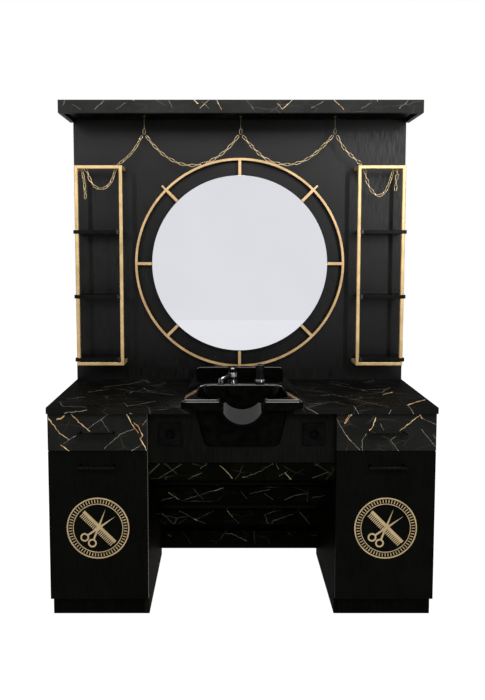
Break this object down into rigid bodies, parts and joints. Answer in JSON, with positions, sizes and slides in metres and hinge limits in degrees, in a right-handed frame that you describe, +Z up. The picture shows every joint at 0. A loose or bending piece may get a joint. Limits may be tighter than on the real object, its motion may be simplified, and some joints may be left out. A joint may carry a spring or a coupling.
{
  "type": "barber wall station with wash basin",
  "caption": "Barber's wall station: black marble-look cabinets, built-in front-wash basin, round mirror in a gold spoked ring, gold shelf frames, canopy and hanging chains.",
  "frame": {"origin": "on the floor, at the middle of the unit's overall width and depth", "axes": "+X to the right of a person facing the unit, -Y towards that person, +Z up"},
  "size_m": [1.52, 0.536, 2.06],
  "materials": {
    "marble_laminate": "black marble-pattern laminate with fine white and copper veins, satin",
    "black_board": "plain black laminated board, satin with a faint grain",
    "cabinet_inside": "black-brown board, matt",
    "black_metal": "black powder coat, satin",
    "gold_metal": "brushed gold lacquer",
    "gold_badge": "pale gold foil, satin",
    "gold_chain": "polished brass",
    "mirror": "silvered glass",
    "basin": "glossy black acrylic",
    "chrome": "polished chrome",
    "black_fitting": "glossy black",
    "zinc": "zinc-plated steel",
    "pipe_plastic": "off-white plastic"
  },
  "bodies": {
    "cabinet": {"left_outer_side": "black_board", "left_inner_side": "black_board", "left_cabinet_boards": "cabinet_inside", "left_shelf_frame": "gold_metal", "left_swag_chain": "gold_chain", "left_end_chain": "gold_chain", "right_outer_side": "black_board", "right_inner_side": "black_board", "right_cabinet_boards": "cabinet_inside", "right_shelf_frame": "gold_metal", "right_swag_chain": "gold_chain", "right_end_chain": "gold_chain", "drawer_runners": "zinc", "pedestal_hinge_leaves": "zinc", "plinths": "black_board", "cabinet_backs": "cabinet_inside", "wash_basin": "basin", "drain_strainer": "chrome", "waste_trap": "pipe_plastic", "mixer_body": "black_fitting", "handset_socket": "chrome", "supply_pipes": "zinc", "stop_valves": "chrome", "countertop": "marble_laminate", "centre_fascia": "black_board", "power_sockets": "black_fitting", "footwell_slats": "marble_laminate", "footwell_battens": "black_board", "footwell_backing": "black_board", "back_panel": "black_board", "mirror_glass": "mirror", "mirror_backing": "black_board", "mirror_ring": "gold_metal", "shelf_boards": "black_board", "shelf_clips": "zinc", "canopy_front": "marble_laminate", "canopy_soffit": "marble_laminate", "canopy_casing": "marble_laminate", "chain_hooks": "gold_metal"},
    "left_drawer": {"left_drawer_front": "marble_laminate", "left_drawer_box": "cabinet_inside", "left_drawer_handle": "black_metal", "left_drawer_bars": "zinc"},
    "left_door_leaf": {"left_door": "black_board", "left_door_handle": "black_metal", "left_door_emblem": "gold_badge", "left_door_hinge_leaves": "zinc"},
    "right_drawer": {"right_drawer_front": "marble_laminate", "right_drawer_box": "cabinet_inside", "right_drawer_handle": "black_metal", "right_drawer_bars": "zinc"},
    "right_door_leaf": {"right_door": "black_board", "right_door_handle": "black_metal", "right_door_emblem": "gold_badge", "right_door_hinge_leaves": "zinc"},
    "spout": {"mixer_spout": "chrome"},
    "cap": {"mixer_cap": "black_fitting"},
    "lever": {"mixer_lever": "chrome"},
    "hand_shower": {"handset": "black_fitting"}
  },
  "joints": [
    {"name": "left_drawer_slide", "type": "slide", "parent": "cabinet", "child": "left_drawer", "axis": [0, -1, 0], "range_m": [0, 0.3]},
    {"name": "left_door_hinge", "type": "hinge", "parent": "cabinet", "child": "left_door_leaf", "pos_m": [-0.7472, -0.2088, 0.365], "axis": [0, 0, -1], "range_deg": [0, 100]},
    {"name": "right_drawer_slide", "type": "slide", "parent": "cabinet", "child": "right_drawer", "axis": [0, -1, 0], "range_m": [0, 0.3]},
    {"name": "right_door_hinge", "type": "hinge", "parent": "cabinet", "child": "right_door_leaf", "pos_m": [0.7472, -0.2088, 0.365], "axis": [0, 0, 1], "range_deg": [0, 100]},
    {"name": "spout_swivel", "type": "hinge", "parent": "cabinet", "child": "spout", "pos_m": [-0.033, 0.15, 0.887], "axis": [0, 0, 1], "range_deg": [-40, 60]},
    {"name": "lever_swivel", "type": "hinge", "parent": "cabinet", "child": "cap", "pos_m": [-0.033, 0.15, 0.909], "axis": [0, 0, 1], "range_deg": [-50, 50]},
    {"name": "lever_lift", "type": "hinge", "parent": "cap", "child": "lever", "pos_m": [-0.033, 0.15, 0.91], "axis": [-1, 0, 0], "range_deg": [0, 25]},
    {"name": "hand_shower_lift", "type": "slide", "parent": "cabinet", "child": "hand_shower", "axis": [0, 0, 1], "range_m": [0, 0.25]}
  ]
}
